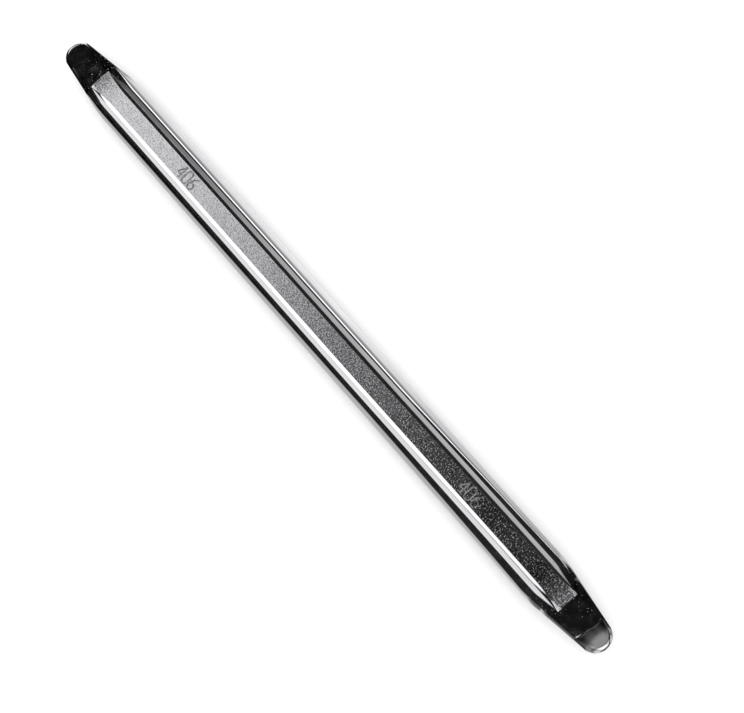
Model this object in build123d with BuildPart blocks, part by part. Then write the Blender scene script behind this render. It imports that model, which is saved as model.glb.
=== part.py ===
from build123d import *
from math import cos, radians, sin, sqrt
import os

os.makedirs("parts", exist_ok=True)

# A drop-forged double-ended lever. It lies along X with its underside on Z = 0.
length = 406.4
width = 25.4
thickness = 12.7

# Plan outline: straight sides, a soft shoulder, a taper, then a round spoon tip.
shoulder_radius = 60.0
taper_angle = 8.8
tip_radius = 7.7

# Cross-section: rounded sides, with a narrow flash line left at mid height.
side_radius = 6.2
flash_height = 0.6

# Side view: the top falls a little to a bevelled tip, and the underside rises to a thin blade.
top_flat_x = 176.4
top_fall_angle = 4.0
crease_x = 192.2
bevel_angle = 9.0
tip_thickness = 3.2
heel_radius = 60.0
ramp_angle = 14.0
blade_angle = 4.0
blade_length = 8.0
blade_edge_radius = 1.4

# A recess in the top face and a shorter one in the underside, with sloping walls and long ramps
# up at their ends.
recess_half_length = 176.4
under_recess_half_length = 150.0
recess_half_width = 5.9
floor_half_width = 4.2
recess_depth = 0.9
ramp_run = 12.0

# Raised size figures, the length in millimetres, on the floor of the top recess.
figure_height = 6.6
figure_width = 3.4
figure_pitch = 4.5
figure_relief = 0.35
stroke_width = 0.65
figure_places = (-100.8, 112.5)

# The tip arc is tangent to the taper line, which runs back to the shoulder corner.
tip_x = length / 2
taper_rise = sin(radians(taper_angle))
taper_run = cos(radians(taper_angle))
tangent_x = tip_x - tip_radius + tip_radius * taper_rise
tangent_y = tip_radius * taper_run
corner_y = width / 2
corner_x = tangent_x - (corner_y - tangent_y) * taper_run / taper_rise

# Heights of the top face at the crease and at the tip, and of the underside at the tip.
crease_z = thickness - (crease_x - top_flat_x) * sin(radians(top_fall_angle))
tip_top_z = crease_z - (tip_x - crease_x) * sin(radians(bevel_angle))
tip_under_z = tip_top_z - tip_thickness

# The underside's straight ramp makes up the rise that its two bends and the blade leave.
ramp_sin = sin(radians(ramp_angle))
ramp_cos = cos(radians(ramp_angle))
blade_sin = sin(radians(blade_angle))
blade_cos = cos(radians(blade_angle))
bends_rise = heel_radius * (1 - ramp_cos) + heel_radius * (blade_cos - ramp_cos)
ramp_length = (tip_under_z - bends_rise - blade_length * blade_sin) / ramp_sin
bends_run = heel_radius * ramp_sin + heel_radius * (ramp_sin - blade_sin)
heel_x = tip_x - blade_length * blade_cos - bends_run - ramp_length * ramp_cos

# Where the rounded sides meet the flat top.
mid_z = thickness / 2
side_centre_y = width / 2 - side_radius
rim_edge_y = side_centre_y + sqrt(side_radius**2 - (mid_z - flash_height / 2) ** 2)

# The top recess's floor.
floor_top_z = thickness - recess_depth

# Plain stroked figures, each drawn about its own centre.
bend = figure_width / 2
top_y = figure_height / 2
bend_y = top_y - bend

with BuildSketch() as four:
    with BuildLine():
        Polyline((bend / 2, top_y), (-bend, -top_y / 3), (bend, -top_y / 3))
    trace(line_width=stroke_width)
    with BuildLine():
        Line((bend / 2, -top_y), (bend / 2, top_y))
    trace(line_width=stroke_width)

with BuildSketch() as zero:
    SlotOverall(figure_height + stroke_width, figure_width + stroke_width, rotation=90)
    SlotOverall(
        figure_height - stroke_width, figure_width - stroke_width, rotation=90, mode=Mode.SUBTRACT
    )

with BuildSketch() as six:
    with BuildLine():
        RadiusArc((-bend, -bend_y), (bend / 2, top_y), figure_height)
    trace(line_width=stroke_width)
    with Locations((0, -bend_y)):
        Circle(bend + stroke_width / 2)
        Circle(bend - stroke_width / 2, mode=Mode.SUBTRACT)

with BuildPart() as forged_bar:
    # Plan outline, full height.
    with BuildSketch() as plan:
        with BuildLine():
            Line((0, corner_y), (corner_x, corner_y))
            Line((corner_x, corner_y), (tangent_x, tangent_y))
            ThreePointArc((tangent_x, tangent_y), (tip_x, 0), (tangent_x, -tangent_y))
            Line((tangent_x, -tangent_y), (corner_x, -corner_y))
            Line((corner_x, -corner_y), (0, -corner_y))
            mirror(about=Plane.YZ)
        make_face()
        shoulders = plan.vertices().filter_by(lambda v: abs(abs(v.Y) - corner_y) < 0.01)
        fillet(shoulders.filter_by(lambda v: abs(v.X) > 1), radius=shoulder_radius)
    extrude(amount=thickness)

    # Side view, cut through the full width.
    with BuildSketch(Plane.XZ):
        with BuildLine():
            sole = Line((0, 0), (heel_x, 0))
            heel = JernArc(sole @ 1, sole % 1, heel_radius, ramp_angle)
            ramp = PolarLine(heel @ 1, ramp_length, direction=heel % 1)
            toe = JernArc(ramp @ 1, ramp % 1, heel_radius, blade_angle - ramp_angle)
            blade = PolarLine(toe @ 1, blade_length, direction=toe % 1)
            Polyline(
                blade @ 1,
                (tip_x, tip_top_z),
                (crease_x, crease_z),
                (top_flat_x, thickness),
                (0, thickness),
            )
            mirror(about=Plane.YZ)
        make_face()
    extrude(amount=width, both=True, mode=Mode.INTERSECT)

    # Soften the edges all round; the body's own are cut away by its rounded section.
    cross_edges = forged_bar.edges().filter_by(Axis.Y)
    upright_edges = forged_bar.edges().filter_by(Axis.Z)
    fillet(forged_bar.edges() - cross_edges - upright_edges, radius=blade_edge_radius)

    # Rounded cross-section, cut along the full length.
    with BuildSketch(Plane.YZ) as section:
        with BuildLine():
            Line((0, thickness), (rim_edge_y, thickness))
            RadiusArc((rim_edge_y, thickness), (corner_y, mid_z + flash_height / 2), side_radius)
            Line((corner_y, mid_z + flash_height / 2), (corner_y, mid_z))
            mirror(about=Plane.XZ.offset(-mid_z))
            mirror(about=Plane.YZ)
        make_face()
    extrude(amount=length, both=True, mode=Mode.INTERSECT)

    # The two recesses, each from its mouth down to its floor.
    for mouth_z, floor_z, half_length in (
        (thickness, floor_top_z, recess_half_length),
        (0, recess_depth, under_recess_half_length),
    ):
        with BuildSketch(Plane.XY.offset(mouth_z)):
            Rectangle(2 * half_length, 2 * recess_half_width)
        with BuildSketch(Plane.XY.offset(floor_z)):
            Rectangle(2 * (half_length - ramp_run), 2 * floor_half_width)
        loft(mode=Mode.SUBTRACT)

    # The figures 406, read along +X, at two places on the top recess's floor.
    with BuildSketch(Plane.XY.offset(floor_top_z - figure_relief)):
        for place in figure_places:
            for figure, shift in ((four, -figure_pitch), (zero, 0), (six, figure_pitch)):
                with Locations((place + shift, 0)):
                    add(figure.sketch)
    extrude(amount=2 * figure_relief)

forged_bar.part.label = "forged_bar"
export_step(forged_bar.part, "parts/forged_bar.step")
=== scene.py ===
from math import cos, pi, radians, sin, sqrt, tan

import bmesh
import bpy
import numpy as np
from mathutils import Matrix, Vector, noise


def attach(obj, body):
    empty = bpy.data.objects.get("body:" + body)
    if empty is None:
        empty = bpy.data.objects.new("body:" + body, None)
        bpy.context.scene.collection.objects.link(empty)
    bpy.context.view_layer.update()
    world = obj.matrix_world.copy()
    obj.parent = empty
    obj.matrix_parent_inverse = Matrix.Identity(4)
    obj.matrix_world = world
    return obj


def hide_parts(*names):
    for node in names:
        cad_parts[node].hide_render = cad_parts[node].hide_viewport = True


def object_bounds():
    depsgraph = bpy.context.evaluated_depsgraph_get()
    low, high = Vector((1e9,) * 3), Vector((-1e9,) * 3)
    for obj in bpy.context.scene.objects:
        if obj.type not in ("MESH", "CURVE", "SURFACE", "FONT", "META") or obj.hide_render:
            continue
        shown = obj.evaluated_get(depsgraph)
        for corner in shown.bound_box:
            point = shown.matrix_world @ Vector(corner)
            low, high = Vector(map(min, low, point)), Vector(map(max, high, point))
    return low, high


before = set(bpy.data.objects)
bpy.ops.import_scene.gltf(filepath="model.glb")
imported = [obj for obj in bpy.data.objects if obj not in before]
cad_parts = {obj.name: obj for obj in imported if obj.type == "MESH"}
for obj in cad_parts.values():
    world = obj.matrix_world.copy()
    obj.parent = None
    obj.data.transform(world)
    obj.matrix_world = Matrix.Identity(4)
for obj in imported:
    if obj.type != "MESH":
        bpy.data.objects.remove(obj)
cad_low, cad_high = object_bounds()

MM = 0.001

# Overall sizes in mm, taken from the frame. The bar lies along X with its underside on Z = 0.
HALF_LENGTH = cad_high.x / MM
HALF_WIDTH = cad_high.y / MM
THICKNESS = (cad_high.z - cad_low.z) / MM
MID = THICKNESS / 2

# Plan outline.
SHOULDER_RADIUS = 60.0
TAPER = radians(8.8)
TIP_RADIUS = 7.7
TIP_CENTRE = HALF_LENGTH - TIP_RADIUS
TANGENT_X = TIP_CENTRE + TIP_RADIUS * sin(TAPER)
CORNER_X = TANGENT_X - (HALF_WIDTH - TIP_RADIUS * cos(TAPER)) / tan(TAPER)
TANGENT_RUN = SHOULDER_RADIUS * tan(TAPER / 2)

# Cross-section: rims that lean outwards, then bulged sides down to a narrow flash line.
FLASH = 0.3
RIM_IN = 5.9
RIM_OUT = 7.9
LEAN_IN = tan(radians(6.0))
LEAN_OUT = tan(radians(12.0))
SIDE_SLOPE = 1.6
BEND_SHIFT = 3.4
TIP_ROUND = 1.5

# Where the sides turn flatter: gradually along one half, then fully before both tips.
FLATTER = 0.85
FLATTER_START = 55.0
FLATTER_RUN = 105.0
FLAT_START = 158.0
FLAT_END = 176.0

# Where the bulged sides give way to the blade's own small edge radius.
BLADE_START = 178.0
BLADE_RUN = 25.0
BLADE_FLASH = 0.25
BLADE_FADE = 0.9

# Recesses, with sloping walls, running out gently at both ends.
RECESS_HALF = 176.4
RECESS_SHIFT = 1.4
UNDER_RECESS_HALF = 150.0
FLOOR_HALF = 4.2
RECESS_DEPTH = 0.9
RUN_OUT = 17.0

# How far the recess and rims lie off centre across the bar, growing between these places along it.
DRIFT = 0.95
DRIFT_START = 10.0
DRIFT_END = 172.0

# Grain on the recess floors: height and size of the fine part, then of the broad part.
GRAIN = 0.022
GRAIN_SIZE = 1.4
LUMP = 0.02
LUMP_SIZE = 6.0

# Half the gap between a pair of close points, which keeps an edge crisp.
GAP = 0.02

# Points along half the bar: up to the taper, along it, along the blade, then round the tip.
TAPER_START = 158.0
MIDDLE_POINTS = 240
TAPER_POINTS = 52
BLADE_POINTS = 52
TIP_POINTS = 42

# Side view.
CREASE_X = 192.2
CREASE_SLANT = 0.10
CREASE_WAVE = 0.25
LIP = 0.025
LIP_WIDTH = 0.4
FALL = tan(radians(4.0))
BEVEL = tan(radians(6.0))
BEVEL_CURVE = 0.0048
TIP_THICKNESS = 3.2
TIP_DROP = 1.74
HEEL_RADIUS = 60.0
RAMP = radians(14.0)
BLADE = radians(4.0)
BLADE_LENGTH = 8.0


def soft_step(a, b, t):
    t = np.clip((t - a) / (b - a), 0, 1)
    return t * t * (3 - 2 * t)


def half_width(ax):
    """Half the plan width at a distance ax from the middle."""
    start = CORNER_X - TANGENT_RUN
    stop = CORNER_X + TANGENT_RUN * cos(TAPER)
    arc = HALF_WIDTH - SHOULDER_RADIUS
    arc = arc + np.sqrt(np.maximum(SHOULDER_RADIUS**2 - (ax - start) ** 2, 0))
    line = HALF_WIDTH - (ax - CORNER_X) * tan(TAPER)
    tip = np.sqrt(np.maximum(TIP_RADIUS**2 - (ax - TIP_CENTRE) ** 2, 0))
    body = np.where(ax < start, HALF_WIDTH, np.where(ax < stop, arc, line))
    return np.where(ax > TANGENT_X, tip, body)


def inset(ax, ay):
    """How far a point lies inside the plan outline."""
    in_tip = ay < (ax - TIP_CENTRE) / tan(TAPER)
    to_tip = TIP_RADIUS - np.hypot(ax - TIP_CENTRE, ay)
    slope = soft_step(CORNER_X - TANGENT_RUN, CORNER_X + TANGENT_RUN, ax) * TAPER
    to_side = (half_width(np.minimum(ax, TANGENT_X)) - ay) * np.cos(slope)
    return np.maximum(np.where(in_tip, to_tip, to_side), 0)


def ramp_share(x, half_length):
    """How deep a recess is along its length: 1, then curving up to 0 at its ends."""
    to_end = np.clip((half_length - np.abs(x)) / RUN_OUT, 0, 1)
    return 1 - (1 - to_end) ** 2


def recess(x, y, half_length):
    """Depth of a recess, from its own middle: sloping side walls, a flat floor, ramps at the ends."""
    wall = (RIM_IN - np.abs(y)) / (RIM_IN - FLOOR_HALF)
    return RECESS_DEPTH * np.maximum(np.minimum(wall, ramp_share(x, half_length)), 0)


def floor_share(x, y, half_length):
    """1 on a recess's floor and end ramps, 0 on its walls and outside it."""
    wall = RECESS_DEPTH * (RIM_IN - np.abs(y)) / (RIM_IN - FLOOR_HALF)
    above_wall = soft_step(0.01, 0.12, wall - recess(x, y, half_length))
    return above_wall * soft_step(half_length + 0.3, half_length - 0.5, np.abs(x))


def side_drop(d, half_height, flatter, blade):
    """How far the leaning rim and the side have dropped, at a distance d inside the outline.

    Past the rim the side slopes, then bends down to the flash line. The bend starts further out
    as flatter nears 1. As blade nears 1 the slope fades out and the tip's edge is rounded further in."""
    out = np.maximum(HALF_WIDTH - d - RIM_IN, 0)
    width = RIM_OUT - RIM_IN
    curl = (LEAN_OUT - LEAN_IN) / (2 * width)
    rim_drop = (LEAN_IN + LEAN_OUT) / 2 * width
    keep = 1 - BLADE_FADE * blade
    slope = np.clip(1 - d / (HALF_WIDTH - RIM_OUT), 0, 1)
    reach = HALF_WIDTH - RIM_OUT - BEND_SHIFT * flatter + TIP_ROUND * soft_step(0.5, 1, blade)
    bend = np.clip(1 - d / reach, 0, 1)
    side = (rim_drop + SIDE_SLOPE * slope) * keep
    side = side + (half_height - (rim_drop + SIDE_SLOPE) * keep) * (1 - np.sqrt(1 - bend**2))
    lean = (LEAN_IN * out + curl * np.minimum(out, width) ** 2) * keep
    return np.where(slope > 0, side, lean)


def top_level(ax, y, x):
    """The top face along the bar: flat, a slight fall, then a bevel that steepens past an uneven
    crease, which has a small lip at one end."""
    crease = CREASE_X + CREASE_SLANT * y + CREASE_WAVE * np.sin(0.9 * y)
    fall = np.maximum(np.abs(x - RECESS_SHIFT) - RECESS_HALF, 0) * FALL
    past = np.maximum(ax - crease, 0)
    bevel = past * (BEVEL - FALL) + BEVEL_CURVE * past**2 * (1 - 0.05 * y)
    lip = np.where(x > 0, LIP, 0) * np.exp(-(((ax - crease) / LIP_WIDTH) ** 2))
    return THICKNESS - fall - bevel + lip


def under_level(ax):
    """The underside along the bar: flat, a heel, a ramp, a hollow bend and a thin blade."""
    crease_z = THICKNESS - (CREASE_X - RECESS_HALF) * FALL
    tip_under = crease_z - TIP_DROP - TIP_THICKNESS
    bends = HEEL_RADIUS * (1 - 2 * cos(RAMP) + cos(BLADE))
    ramp_rise = tip_under - bends - BLADE_LENGTH * sin(BLADE)
    toe_end = HALF_LENGTH - BLADE_LENGTH * cos(BLADE)
    toe_start = toe_end - HEEL_RADIUS * (sin(RAMP) - sin(BLADE))
    heel_end = toe_start - ramp_rise / tan(RAMP)
    heel = heel_end - HEEL_RADIUS * sin(RAMP)
    along = np.clip(ax - heel, 0, heel_end - heel)
    heel_z = HEEL_RADIUS - np.sqrt(HEEL_RADIUS**2 - along**2)
    ramp_z = np.clip(ax - heel_end, 0, toe_start - heel_end) * tan(RAMP)
    left = HEEL_RADIUS * sin(RAMP) - np.clip(ax - toe_start, 0, toe_end - toe_start)
    toe_z = np.sqrt(HEEL_RADIUS**2 - left**2) - HEEL_RADIUS * cos(RAMP)
    return heel_z + ramp_z + toe_z + np.maximum(ax - toe_end, 0) * tan(BLADE)


def heights(x, y):
    """The top and underside heights at plan points, without any grain."""
    ax = np.abs(x)
    top = top_level(ax, y * np.sign(x), x)
    under = under_level(ax)
    # The bulged sides follow the taper, and give way to the blade's own small edge radius.
    blade = np.clip((ax - BLADE_START) / BLADE_RUN, 0, 1)
    one_half = FLATTER * np.clip((x - FLATTER_START) / FLATTER_RUN, 0, 1)
    flatter = np.maximum(one_half, soft_step(FLAT_START, FLAT_END, ax))
    middle = (1 - blade) * MID + blade * (top + under) / 2
    land = FLASH * (1 - blade) + BLADE_FLASH * blade
    top_half = np.maximum(top - middle - land, 0.3)
    under_half = np.maximum(middle - under - land, 0.3)
    top_side = side_drop(inset(ax, np.abs(y)), top_half, flatter, blade)
    under_side = side_drop(inset(ax, np.abs(y)), under_half, flatter, blade)
    return (
        top - np.minimum(top_side, top_half) - recess(x - RECESS_SHIFT, y, RECESS_HALF),
        under + np.minimum(under_side, under_half) + recess(x, y, UNDER_RECESS_HALF),
    )


def fractal(x, y, size, seed):
    """Smooth noise of about -1 to 1 at plan points, with features about size mm across."""
    return np.array([noise.noise(Vector((a / size, b / size, seed))) for a, b in zip(x, y)])


def stations():
    """Places along the bar, closer together at the ends of the recess and round the tips."""
    ends = []
    for recess_end in (RECESS_HALF - RECESS_SHIFT, RECESS_HALF + RECESS_SHIFT):
        middle = np.linspace(0, TAPER_START, MIDDLE_POINTS, endpoint=False)
        taper = np.linspace(TAPER_START, recess_end - 0.3, TAPER_POINTS)
        brow = recess_end + np.array([-GAP, GAP])
        blade = np.linspace(recess_end + 0.35, TIP_CENTRE, BLADE_POINTS, endpoint=False)
        tip = TIP_CENTRE + TIP_RADIUS * np.sin(np.linspace(0, pi / 2, TIP_POINTS))
        ends.append(np.concatenate([middle, taper, brow, blade, tip]))
    return np.concatenate([-ends[0][:0:-1], ends[1]])


def columns(inner, wall, rim, outer):
    """Places across half a face: floor, wall, rim, then closer together to the edge.

    Pairs of close columns keep the wall's foot and brow crisp."""
    floor = np.linspace(0, FLOOR_HALF - GAP, inner)
    walls = np.linspace(FLOOR_HALF + GAP, RIM_IN - GAP, wall)
    rims = np.linspace(RIM_IN + GAP, RIM_OUT - 2 * GAP, rim)
    share = np.sin(np.linspace(0, pi / 2, outer))
    edges = RIM_OUT + 2 * GAP + (HALF_WIDTH - RIM_OUT - 2 * GAP) * share
    half = np.concatenate([floor, walls, rims, edges])
    return np.concatenate([-half[:0:-1], half])


def across(x, base, recess_x, half_length):
    """Plan y of each column at each station: the columns follow the recess's walls and the outline."""
    hw = half_width(np.abs(x))[:, None]
    mouth = np.minimum(RIM_IN, 0.6 * hw)
    share = np.maximum(ramp_share(recess_x, half_length), 0.04)[:, None]
    foot = mouth - (RIM_IN - FLOOR_HALF) * share
    b = np.abs(base)[None, :]
    on_floor = b / FLOOR_HALF * foot
    on_wall = foot + (b - FLOOR_HALF) / (RIM_IN - FLOOR_HALF) * (mouth - foot)
    beyond = mouth + (b - RIM_IN) / (HALF_WIDTH - RIM_IN) * (hw - mouth)
    past_floor = np.where(b < RIM_IN, on_wall, beyond)
    return np.sign(base)[None, :] * np.where(b < FLOOR_HALF, on_floor, past_floor)


def drift(x, y):
    """How far the recess and rims lie sideways towards one end, fading out at the bar's outline."""
    across_share = 1 - (y / np.maximum(half_width(np.abs(x)), 0.1)) ** 2
    return DRIFT * soft_step(DRIFT_START, DRIFT_END, x) * across_share


def mesh_object(name, points, faces):
    mesh = bpy.data.meshes.new(name)
    mesh.from_pydata([tuple(p) for p in points * MM], [], faces)
    bm = bmesh.new()
    bm.from_mesh(mesh)
    bmesh.ops.remove_doubles(bm, verts=bm.verts, dist=1e-7)
    bmesh.ops.recalc_face_normals(bm, faces=bm.faces)
    bm.to_mesh(mesh)
    bm.free()
    mesh.shade_smooth()
    mesh.normals_split_custom_set_from_vertices(weighted_normals(mesh))
    made = bpy.data.objects.new(name, mesh)
    bpy.context.scene.collection.objects.link(made)
    return made


def weighted_normals(mesh):
    """Vertex normals led by the larger faces, so that narrow edges between them stay crisp."""
    normal = np.empty(len(mesh.polygons) * 3)
    area = np.empty(len(mesh.polygons))
    corners = np.empty(len(mesh.polygons), dtype=np.int32)
    vertex = np.empty(len(mesh.loops), dtype=np.int32)
    mesh.polygons.foreach_get("normal", normal)
    mesh.polygons.foreach_get("area", area)
    mesh.polygons.foreach_get("loop_total", corners)
    mesh.loops.foreach_get("vertex_index", vertex)
    total = np.zeros((len(mesh.vertices), 3))
    np.add.at(total, vertex, np.repeat(normal.reshape(-1, 3) * area[:, None], corners, axis=0))
    return total / np.linalg.norm(total, axis=1)[:, None]


def forged_body():
    """The bar's skin: rings of points round the section, joined from one tip to the other."""
    x = stations()
    top_base = columns(15, 5, 4, 16)
    under_base = columns(5, 3, 3, 11)
    top_y = across(x, top_base, x - RECESS_SHIFT, RECESS_HALF)
    under_y = across(x, under_base, x, UNDER_RECESS_HALF)
    top_x = np.repeat(x[:, None], top_base.size, axis=1)
    under_x = np.repeat(x[:, None], under_base.size, axis=1)
    top_z = heights(top_x, top_y)[0]
    under_z = heights(under_x, under_y)[1]
    top_floor = floor_share(top_x - RECESS_SHIFT, top_y, RECESS_HALF)
    under_floor = floor_share(under_x, under_y, UNDER_RECESS_HALF)
    top_y = top_y + drift(top_x, top_y)
    # Forging grain on the recess floors.
    for gx, gy, gz, share, way in (
        (top_x, top_y, top_z, top_floor, 1),
        (under_x, under_y, under_z, under_floor, -1),
    ):
        flat_x, flat_y = gx.ravel(), gy.ravel()
        grain = GRAIN * fractal(flat_x, flat_y, GRAIN_SIZE, 3.1)
        lumps = LUMP * fractal(flat_x, flat_y, LUMP_SIZE, 1.3)
        gz += way * share * (grain + lumps).reshape(gz.shape)
    top_z = np.minimum(top_z, THICKNESS)
    under_z = np.maximum(under_z, 0)
    # Two points on the wall between the faces, on each side.
    rings = []
    for i in range(x.size):
        face = np.column_stack([top_x[i], top_y[i], top_z[i]])
        back = np.column_stack([under_x[i], under_y[i], under_z[i]])[::-1]
        right = [face[-1] * (1 - t) + back[0] * t for t in (1 / 3, 2 / 3)]
        left = [back[-1] * (1 - t) + face[0] * t for t in (1 / 3, 2 / 3)]
        rings.append(np.vstack([face, right, back, left]))
    count = len(rings[0])
    faces = []
    for i in range(x.size - 1):
        here, there = i * count, (i + 1) * count
        for j in range(count):
            k = (j + 1) % count
            faces.append((here + j, here + k, there + k, there + j))
    body = mesh_object("forged_bar_skin", np.vstack(rings), faces)
    # How grained each point is: the recess floors are left rougher than the rest, and the hollows of
    # their grain get painted shade.
    seen = np.array([v.co for v in body.data.vertices]) / MM
    straight_y = seen[:, 1] - drift(seen[:, 0], seen[:, 1])
    upper = floor_share(seen[:, 0] - RECESS_SHIFT, straight_y, RECESS_HALF)
    lower = floor_share(seen[:, 0], seen[:, 1], UNDER_RECESS_HALF)
    shares = np.where(seen[:, 2] > MID, upper, lower)
    grained = body.data.attributes.new("grained", "FLOAT", "POINT")
    grained.data.foreach_set("value", shares.astype(np.float32))
    return body


body = forged_body()
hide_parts("forged_bar")


# ---------------------------------------------------------------- raised size figures
FIGURE_HEIGHT = 7.0
FIGURE_WIDTH = 3.4
FIGURE_PITCH = 4.5
FIGURE_PLACES = (-100.8, 112.5)
STROKE = 0.40
FLOOR_Z = THICKNESS - RECESS_DEPTH


def arc_points(cx, cy, rx, ry, start, stop, count):
    return [(cx + rx * cos(t), cy + ry * sin(t)) for t in np.linspace(start, stop, count)]


def figure_strokes():
    """Centre lines of the figures 4, 0 and 6, each about its own middle: (points, closed)."""
    bend = FIGURE_WIDTH / 2
    top = FIGURE_HEIGHT / 2
    four = [
        ([(bend / 2, top), (-bend, -top / 3), (bend, -top / 3)], False),
        ([(bend / 2, -top), (bend / 2, top)], False),
    ]
    upper = arc_points(0, top - bend, bend, bend, 0, pi, 14)
    lower = arc_points(0, bend - top, bend, bend, pi, 2 * pi, 14)
    zero = [(upper + lower, True)]
    stem = arc_points(bend * 1.9, bend - top, bend * 2.9, 2 * (top - bend) + bend, pi * 0.62, pi, 10)
    six = [(stem, False), (arc_points(0, bend - top, bend, bend, 0, 2 * pi, 25)[:-1], True)]
    return four, zero, six


def figures(name, centre_x):
    """Softly rounded raised strokes, half sunk in the recess floor."""
    curve = bpy.data.curves.new(name, "CURVE")
    curve.dimensions = "3D"
    curve.bevel_depth = STROKE * MM
    curve.bevel_resolution = 4
    curve.use_fill_caps = True
    for place, strokes in zip((-1, 0, 1), figure_strokes()):
        for line, closed in strokes:
            steps = line + line[:1] if closed else line
            fine = []
            for (ax, ay), (bx, by) in zip(steps, steps[1:]):
                runs = max(1, round(sqrt((bx - ax) ** 2 + (by - ay) ** 2) / 0.35))
                fine += [(ax + (bx - ax) * k / runs, ay + (by - ay) * k / runs) for k in range(runs)]
            fine += [] if closed else [line[-1]]
            spline = curve.splines.new("POLY")
            spline.points.add(len(fine) - 1)
            spline.use_cyclic_u = closed
            for i, (px, py) in enumerate(fine):
                x = centre_x + place * FIGURE_PITCH + px
                shifted_y = py + drift(x, py)
                wobble = 0.06 * noise.noise(Vector((x * 0.9, py * 0.9, 5.0)))
                z = FLOOR_Z + 0.02 + wobble
                spline.points[i].co = (x * MM, shifted_y * MM, z * MM, 1)
                end = min(i, len(fine) - 1 - i)
                full = 1.0 if closed else min(1.0, 0.55 + 0.25 * end)
                spline.points[i].radius = full * (1 + 0.15 * noise.noise(Vector((x, py, 9.0))))
    shape = bpy.data.objects.new(name + "_curve", curve)
    bpy.context.scene.collection.objects.link(shape)
    bpy.context.view_layer.update()
    mesh = bpy.data.meshes.new_from_object(shape.evaluated_get(bpy.context.evaluated_depsgraph_get()))
    bpy.data.objects.remove(shape)
    mesh.name = name
    mesh.shade_smooth()
    made = bpy.data.objects.new(name, mesh)
    bpy.context.scene.collection.objects.link(made)
    return made


marks = [figures(n, x) for n, x in zip(("figures_far", "figures_near"), FIGURE_PLACES)]


# ---------------------------------------------------------------- chrome
def link(tree, a, b):
    tree.links.new(a, b)


def node(tree, kind, **settings):
    made = tree.nodes.new(kind)
    for key, value in settings.items():
        setattr(made, key, value)
    return made


def noise_node(tree, coords, scale, detail=3.0):
    made = node(tree, "ShaderNodeTexNoise")
    made.inputs["Scale"].default_value = scale
    made.inputs["Detail"].default_value = detail
    link(tree, coords, made.inputs["Vector"])
    return made.outputs["Fac"]


def remap(tree, value, low, high, out_low, out_high):
    made = node(tree, "ShaderNodeMapRange", interpolation_type="SMOOTHSTEP")
    made.inputs["From Min"].default_value = low
    made.inputs["From Max"].default_value = high
    made.inputs["To Min"].default_value = out_low
    made.inputs["To Max"].default_value = out_high
    link(tree, value, made.inputs["Value"])
    return made.outputs["Result"]


def maths(tree, operation, a, b):
    made = node(tree, "ShaderNodeMath", operation=operation)
    for socket, value in zip(made.inputs, (a, b)):
        if isinstance(value, (int, float)):
            socket.default_value = value
        else:
            link(tree, value, socket)
    return made.outputs["Value"]


def bump(tree, height, distance, normal=None):
    made = node(tree, "ShaderNodeBump")
    made.inputs["Distance"].default_value = distance
    link(tree, height, made.inputs["Height"])
    if normal is not None:
        link(tree, normal, made.inputs["Normal"])
    return made.outputs["Normal"]


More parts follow.
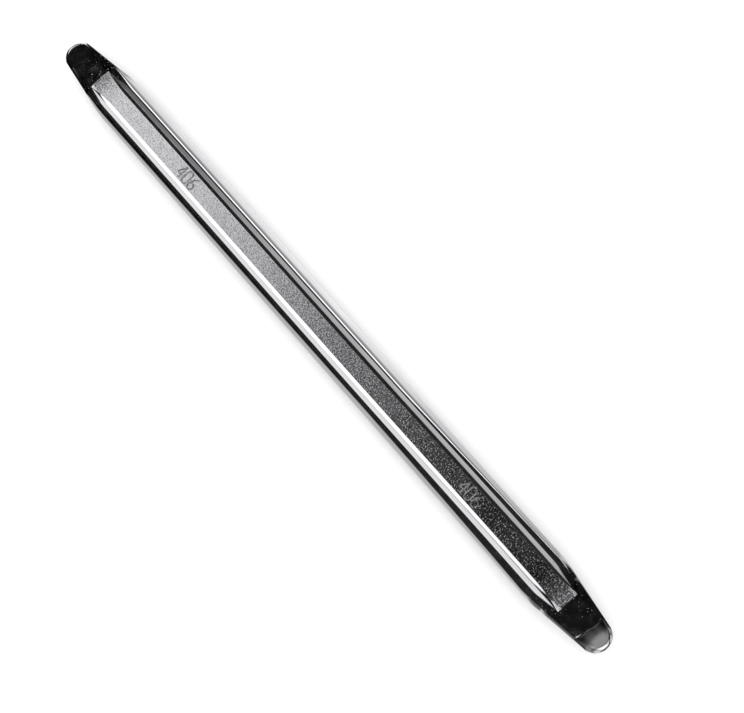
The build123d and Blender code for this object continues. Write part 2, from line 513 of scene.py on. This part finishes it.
def chrome(name):
    """Bright chrome plate over a forging, rough where the mesh says it is grained, with painted shade in
    the hollows of that grain.
    """
    material = bpy.data.materials.new(name)
    material.use_nodes = True
    tree = material.node_tree
    tree.nodes.clear()
    output = node(tree, "ShaderNodeOutputMaterial")
    shader = node(tree, "ShaderNodeBsdfPrincipled")
    shader.inputs["Metallic"].default_value = 1.0
    link(tree, shader.outputs["BSDF"], output.inputs["Surface"])
    coords = node(tree, "ShaderNodeTexCoord").outputs["Object"]
    place = node(tree, "ShaderNodeSeparateXYZ")
    link(tree, coords, place.inputs["Vector"])
    ax = maths(tree, "ABSOLUTE", place.outputs["X"], 0.0)
    mask = node(tree, "ShaderNodeAttribute", attribute_name="grained").outputs["Fac"]

    cloud = noise_node(tree, coords, 60.0, 4.0)
    fine = noise_node(tree, coords, 1350.0, 2.0)
    pits = noise_node(tree, coords, 2600.0, 2.0)
    wear = noise_node(tree, coords, 250.0, 5.0)

    tint = node(tree, "ShaderNodeValToRGB")
    tint.color_ramp.elements[0].position = 0.3
    tint.color_ramp.elements[0].color = (0.60, 0.60, 0.615, 1)
    tint.color_ramp.elements[1].position = 0.7
    tint.color_ramp.elements[1].color = (0.66, 0.66, 0.672, 1)
    link(tree, cloud, tint.inputs["Fac"])
    # Painted shade: a dull purple-grey darkens the hollows between the grain's bumps on the recess
    # floors.
    hollow_shade_mix = node(tree, "ShaderNodeMix", data_type="RGBA")
    hollow_shade_mix.inputs["B"].default_value = (0.22, 0.21, 0.245, 1)
    link(tree, tint.outputs["Color"], hollow_shade_mix.inputs["A"])
    # How much painted shade each point gets, strongest where the grain's bumps are lowest.
    hollow = remap(tree, fine, 0.30, 0.58, 0.9, 0.0)
    link(tree, maths(tree, "MULTIPLY", mask, hollow), hollow_shade_mix.inputs["Factor"])
    link(tree, hollow_shade_mix.outputs["Result"], shader.inputs["Base Color"])

    smooth_rough = remap(tree, wear, 0.35, 0.75, 0.05, 0.11)
    grain_rough = remap(tree, cloud, 0.3, 0.7, 0.08, 0.13)
    mix = node(tree, "ShaderNodeMix", data_type="FLOAT")
    link(tree, mask, mix.inputs["Factor"])
    link(tree, smooth_rough, mix.inputs["A"])
    link(tree, grain_rough, mix.inputs["B"])
    link(tree, mix.outputs["Result"], shader.inputs["Roughness"])

    ripple = bump(tree, maths(tree, "MULTIPLY", wear, maths(tree, "SUBTRACT", 1.0, mask)), 0.000004)
    bumps = remap(tree, fine, 0.52, 0.80, 0.0, 1.0)
    grain = bump(tree, maths(tree, "MULTIPLY", bumps, mask), 0.000031, ripple)
    sand = bump(tree, maths(tree, "MULTIPLY", pits, mask), 0.000006, grain)
    # A few specks of scale left under the plate near the recess's ends.
    past_taper = remap(tree, ax, 0.158, 0.168, 0.0, 1.0)
    near_ends = maths(tree, "MULTIPLY", past_taper, remap(tree, ax, 0.184, 0.190, 1.0, 0.0))
    speck = remap(tree, noise_node(tree, coords, 1000.0, 2.0), 0.68, 0.75, 0.0, 1.0)
    specks = bump(tree, maths(tree, "MULTIPLY", speck, near_ends), 0.00006, sand)
    link(tree, specks, shader.inputs["Normal"])
    return material


plate = chrome("chrome_plate")
for piece in [body, *marks]:
    piece.data.materials.append(plate)
    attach(piece, "root")


# ---------------------------------------------------------------- floor, light and camera
FLOOR_GAP = 0.0003
ROOM_STRENGTH = 1.4
BOX_STRENGTH = 4.0


def floor_plane():
    """A pale floor, a hair below the bar and out of sight of its reflections."""
    span = 6.0
    mesh = bpy.data.meshes.new("floor")
    corners = [(-span, -span, 0), (span, -span, 0), (span, span, 0), (-span, span, 0)]
    mesh.from_pydata(corners, [], [(0, 1, 2, 3)])
    made = bpy.data.objects.new("floor", mesh)
    made.location.z = -FLOOR_GAP
    bpy.context.scene.collection.objects.link(made)
    paint = bpy.data.materials.new("pale_floor")
    paint.use_nodes = True
    shader = paint.node_tree.nodes["Principled BSDF"]
    shader.inputs["Base Color"].default_value = (0.93, 0.93, 0.93, 1)
    shader.inputs["Roughness"].default_value = 0.9
    shader.inputs["Specular IOR Level"].default_value = 0.1
    made.data.materials.append(paint)
    made.visible_glossy = False
    return made


floor_plane()


def ramp(tree, value, stops):
    """A soft ramp from (place, brightness) stops."""
    made = node(tree, "ShaderNodeFloatCurve")
    points = made.mapping.curves[0].points
    points[0].location = stops[0]
    points[1].location = stops[-1]
    for stop in stops[1:-1]:
        points.new(*stop)
    for point in points:
        point.handle_type = "VECTOR"
    made.mapping.update()
    link(tree, value, made.inputs["Value"])
    return made.outputs["Value"]


def studio():
    """A white room for the floor, with softboxes and black flags that show only in the chrome."""
    world = bpy.data.worlds.new("studio")
    bpy.context.scene.world = world
    world.use_nodes = True
    tree = world.node_tree
    tree.nodes.clear()
    output = node(tree, "ShaderNodeOutputWorld")
    direction = node(tree, "ShaderNodeSeparateXYZ")
    link(tree, node(tree, "ShaderNodeTexCoord").outputs["Generated"], direction.inputs["Vector"])
    dx, dy, dz = (direction.outputs[k] for k in "XYZ")
    # Sideways angle of a reflected ray, -180 to 180 degrees as 0 to 1, and its lean along the bar.
    sideways = maths(tree, "ARCTAN2", dy, dz)
    sideways = maths(tree, "ADD", maths(tree, "DIVIDE", sideways, 2 * pi), 0.5)
    along = maths(tree, "ADD", maths(tree, "MULTIPLY", dx, 0.5), 0.5)

    # Each stop holds half its brightness, to stay within 0 to 1, and BOX_STRENGTH makes up for it.
    def turn(degrees_list):
        return [(d / 360 + 0.5, v / 2) for d, v in degrees_list]

    def lean(lean_list):
        return [(0.5 + 0.5 * d, v / 2) for d, v in lean_list]

    far = [(-1, 0.75), (-0.93, 1.2), (-0.89, 0.005), (-0.615, 0.005)]
    low_far = [(-1, 1.3), (-0.80, 1.3), (-0.76, 0.005), (-0.615, 0.005)]
    near = [(-0.03, 0.006), (0.12, 0.006), (0.22, 0.16), (0.31, 0.38), (0.50, 0.40), (0.60, 0.12)]
    near += [(0.72, 0.9), (0.86, 0.9), (0.92, 0.06), (1, 0.06)]
    left = ramp(tree, sideways, turn([
        (-180, 0.0), (-66, 0.0), (-64, 0.02), (-32, 0.02),
        (-27, 1.25), (-13, 1.05), (-10, 0.0), (180, 0.0),
    ]))
    left_along = ramp(tree, along, lean([*far, (-0.59, 1.0), (-0.055, 1.0), *near]))
    # The low grey on the left starts lower down towards the far end.
    sheared = maths(tree, "SUBTRACT", sideways, maths(tree, "MULTIPLY", dx, 0.19))
    sheared = maths(tree, "SUBTRACT", sheared, 0.19 * 0.34)
    low_left = ramp(tree, sheared, turn([
        (-180, 1.1), (-135, 1.1), (-125, 0.78), (-85, 0.74), (-79, 0.02), (-62, 0.0), (180, 0.0),
    ]))
    low_left_along = ramp(tree, along, lean([
        *low_far, (-0.58, 0.9), (-0.06, 0.9), (-0.03, 0.3), *near[1:],
    ]))
    over = ramp(tree, sideways, turn([
        (-180, 0.0), (-13, 0.0), (-10, 1.0), (9, 1.0), (12, 0.0), (180, 0.0),
    ]))
    over_along = ramp(tree, along, lean([
        *far, (-0.585, 1.1), (-0.54, 1.2), (-0.46, 1.1), (-0.40, 0.70),
        (-0.34, 0.28), (-0.27, 0.11), (-0.21, 0.03), (-0.15, 0.01),
        *near,
    ]))
    right = ramp(tree, sideways, turn([
        (-180, 0.0), (9, 0.0), (12, 0.66), (24, 0.70), (27, 0.02), (40, 0.0), (180, 0.0),
    ]))
    right_along = ramp(tree, along, lean([
        *far, (-0.54, 0.2), (-0.45, 0.5), (-0.40, 0.85), (-0.30, 1.0), (-0.105, 1.0), *near,
    ]))
    strip = ramp(tree, sideways, turn([
        (-180, 0.0), (36, 0.0), (38, 0.02), (49, 0.02), (51.5, 2.0), (58, 2.0), (60.5, 0.0), (180, 0.0),
    ]))
    strip_along = ramp(tree, along, lean([*far, (-0.59, 1.0), (-0.055, 1.0), *near]))
    low_right = ramp(tree, sideways, turn([
        (-180, 0.0), (58, 0.0), (61, 0.36), (74, 0.46), (90, 1.25), (180, 1.25),
    ]))
    low_right_along = ramp(tree, along, lean([
        *low_far, (-0.54, 0.85), (-0.34, 1.0), (-0.26, 0.75), (-0.15, 0.45), (-0.105, 0.7), *near,
    ]))
    groups = [(left, left_along), (low_left, low_left_along), (over, over_along)]
    groups += [(right, right_along), (strip, strip_along), (low_right, low_right_along)]
    total = 0.0
    for part, reach in groups:
        total = maths(tree, "ADD", maths(tree, "MULTIPLY", part, reach), total)
    strength = maths(tree, "MULTIPLY", total, BOX_STRENGTH)

    boxes = node(tree, "ShaderNodeBackground")
    boxes.inputs["Color"].default_value = (1, 1, 1, 1)
    link(tree, strength, boxes.inputs["Strength"])
    room = node(tree, "ShaderNodeBackground")
    room.inputs["Color"].default_value = (1, 1, 1, 1)
    room.inputs["Strength"].default_value = ROOM_STRENGTH
    ray = node(tree, "ShaderNodeLightPath")
    choose = node(tree, "ShaderNodeMixShader")
    link(tree, ray.outputs["Is Glossy Ray"], choose.inputs["Fac"])
    link(tree, room.outputs["Background"], choose.inputs[1])
    link(tree, boxes.outputs["Background"], choose.inputs[2])
    link(tree, choose.outputs["Shader"], output.inputs["Surface"])


studio()

camera_data = bpy.data.cameras.new("camera")
camera_data.sensor_width = 36.0
camera_data.lens = 75.71
camera_data.clip_start = 0.05
camera_data.clip_end = 50.0
camera = bpy.data.objects.new("camera", camera_data)
bpy.context.scene.collection.objects.link(camera)
bpy.context.scene.camera = camera
camera.location = (0.26117, 0.017, 0.70654)
target = Vector((0.0309, 0.00879, 0.00635))
back = (camera.location - target).normalized()
# The bar runs down to the right, 48.13 degrees below level in the frame.
along_bar = (Vector((1, 0, 0)) - back * back.x).normalized()
past_bar = back.cross(along_bar)
turn = radians(48.13)
right = along_bar * cos(turn) + past_bar * sin(turn)
up = past_bar * cos(turn) - along_bar * sin(turn)
camera.rotation_mode = "QUATERNION"
camera.rotation_quaternion = Matrix((right, up, back)).transposed().to_quaternion()
bpy.context.scene.view_settings.view_transform = "Standard"
